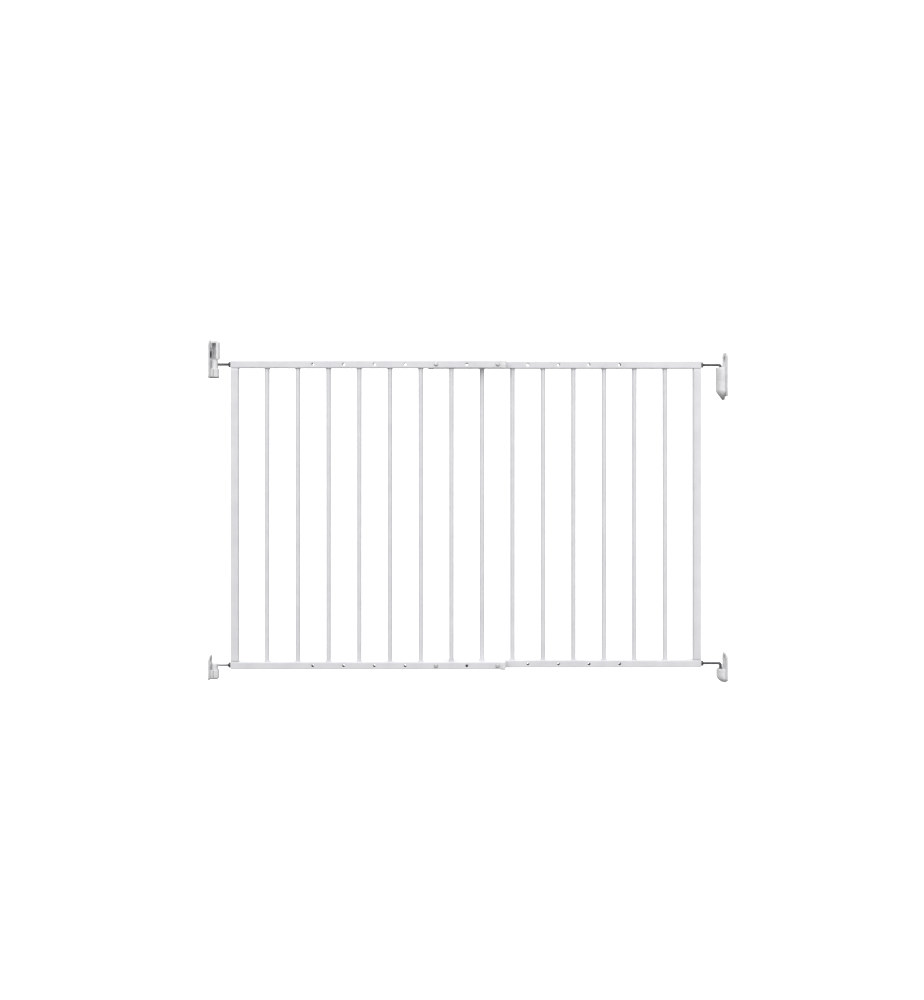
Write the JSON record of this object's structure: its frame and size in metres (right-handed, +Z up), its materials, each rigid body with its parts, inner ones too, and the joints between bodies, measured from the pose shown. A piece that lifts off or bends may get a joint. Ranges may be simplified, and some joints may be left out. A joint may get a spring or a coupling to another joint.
{
  "type": "extending wall-mounted safety gate",
  "caption": "Low metal barrier gate for a doorway or stairs: two overlapping bar panels bolted together, lift-and-swing hinges on one side, drop-in latch with a sliding lock on the other.",
  "frame": {"origin": "on the hinge-side wall, at the back face of the lower hinge bracket, level with the lower rail's axis", "axes": "+X across the opening towards the latch side, +Y through the gate from the front panel to the rear panel, +Z up"},
  "size_m": [1.0755, 0.0512, 0.7115],
  "materials": {
    "white_powder_coat": "semi-gloss white powder coat on steel tube",
    "white_plastic": "satin moulded white plastic",
    "grey_plastic": "moulded nylon, hidden in the rails",
    "dark_steel": "dark plated steel, threaded"
  },
  "bodies": {
    "wall_brackets": {"hinge_top_bracket": "white_plastic", "hinge_bottom_bracket": "white_plastic", "latch_top_bracket": "white_plastic", "latch_bottom_bracket": "white_plastic"},
    "lift_stop": {"hinge_lift_stop": "white_plastic"},
    "latch_slider": {"latch_slider": "white_plastic"},
    "hinge_bushes": {"hinge_top_bush": "white_plastic", "hinge_bottom_bush": "white_plastic"},
    "hinge_spindles": {"hinge_top_spindle": "dark_steel", "hinge_bottom_spindle": "dark_steel", "hinge_top_elbow_cap": "white_plastic", "hinge_bottom_elbow_cap": "white_plastic"},
    "gate_frame": {"front_upright": "white_powder_coat", "front_bar_1": "white_powder_coat", "front_bar_2": "white_powder_coat", "front_bar_3": "white_powder_coat", "front_bar_4": "white_powder_coat", "front_bar_5": "white_powder_coat", "front_bar_6": "white_powder_coat", "front_bar_7": "white_powder_coat", "front_top_rail": "white_powder_coat", "front_top_end_cap": "white_plastic", "front_top_insert": "grey_plastic", "front_bottom_rail": "white_powder_coat", "front_bottom_end_cap": "white_plastic", "front_bottom_insert": "grey_plastic", "rear_upright": "white_powder_coat", "rear_bar_1": "white_powder_coat", "rear_bar_2": "white_powder_coat", "rear_bar_3": "white_powder_coat", "rear_bar_4": "white_powder_coat", "rear_bar_5": "white_powder_coat", "rear_bar_6": "white_powder_coat", "rear_bar_7": "white_powder_coat", "rear_top_rail": "white_powder_coat", "rear_top_end_cap": "white_plastic", "rear_top_insert": "grey_plastic", "rear_bottom_rail": "white_powder_coat", "rear_bottom_end_cap": "white_plastic", "rear_bottom_insert": "grey_plastic", "top_inner_clamp_bolt": "dark_steel", "top_inner_clamp_nut": "dark_steel", "top_outer_clamp_bolt": "dark_steel", "top_outer_clamp_nut": "dark_steel", "bottom_inner_clamp_bolt": "dark_steel", "bottom_inner_clamp_nut": "dark_steel", "bottom_outer_clamp_bolt": "dark_steel", "bottom_outer_clamp_nut": "dark_steel", "hinge_top_lock_nut": "dark_steel", "hinge_bottom_lock_nut": "dark_steel", "latch_top_lock_nut": "dark_steel", "latch_bottom_lock_nut": "dark_steel"},
    "latch_top_spindle": {"latch_top_spindle": "dark_steel"},
    "latch_bottom_spindle": {"latch_bottom_spindle": "dark_steel"}
  },
  "joints": [
    {"name": "gate_lift", "type": "slide", "parent": "wall_brackets", "child": "hinge_bushes", "axis": [0, 0, 1], "range_m": [-0.005, 0.0006]},
    {"name": "gate_swing", "type": "hinge", "parent": "hinge_bushes", "child": "hinge_spindles", "pos_m": [0.012, 0, 0], "axis": [0, 0, 1], "range_deg": [-90, 85]},
    {"name": "hinge_gap_adjust", "type": "slide", "parent": "hinge_spindles", "child": "gate_frame", "axis": [1, 0, 0], "range_m": [-0.012, 0.003]},
    {"name": "latch_top_gap_adjust", "type": "slide", "parent": "gate_frame", "child": "latch_top_spindle", "axis": [1, 0, 0], "range_m": [-0.015, 0.003]},
    {"name": "latch_bottom_gap_adjust", "type": "slide", "parent": "gate_frame", "child": "latch_bottom_spindle", "axis": [1, 0, 0], "range_m": [-0.015, 0.003]},
    {"name": "lift_stop_slide", "type": "slide", "parent": "wall_brackets", "child": "lift_stop", "axis": [0, 0, 1], "range_m": [0, 0.01]},
    {"name": "latch_slide", "type": "slide", "parent": "wall_brackets", "child": "latch_slider", "axis": [0, 0, 1], "range_m": [0, 0.008]}
  ]
}
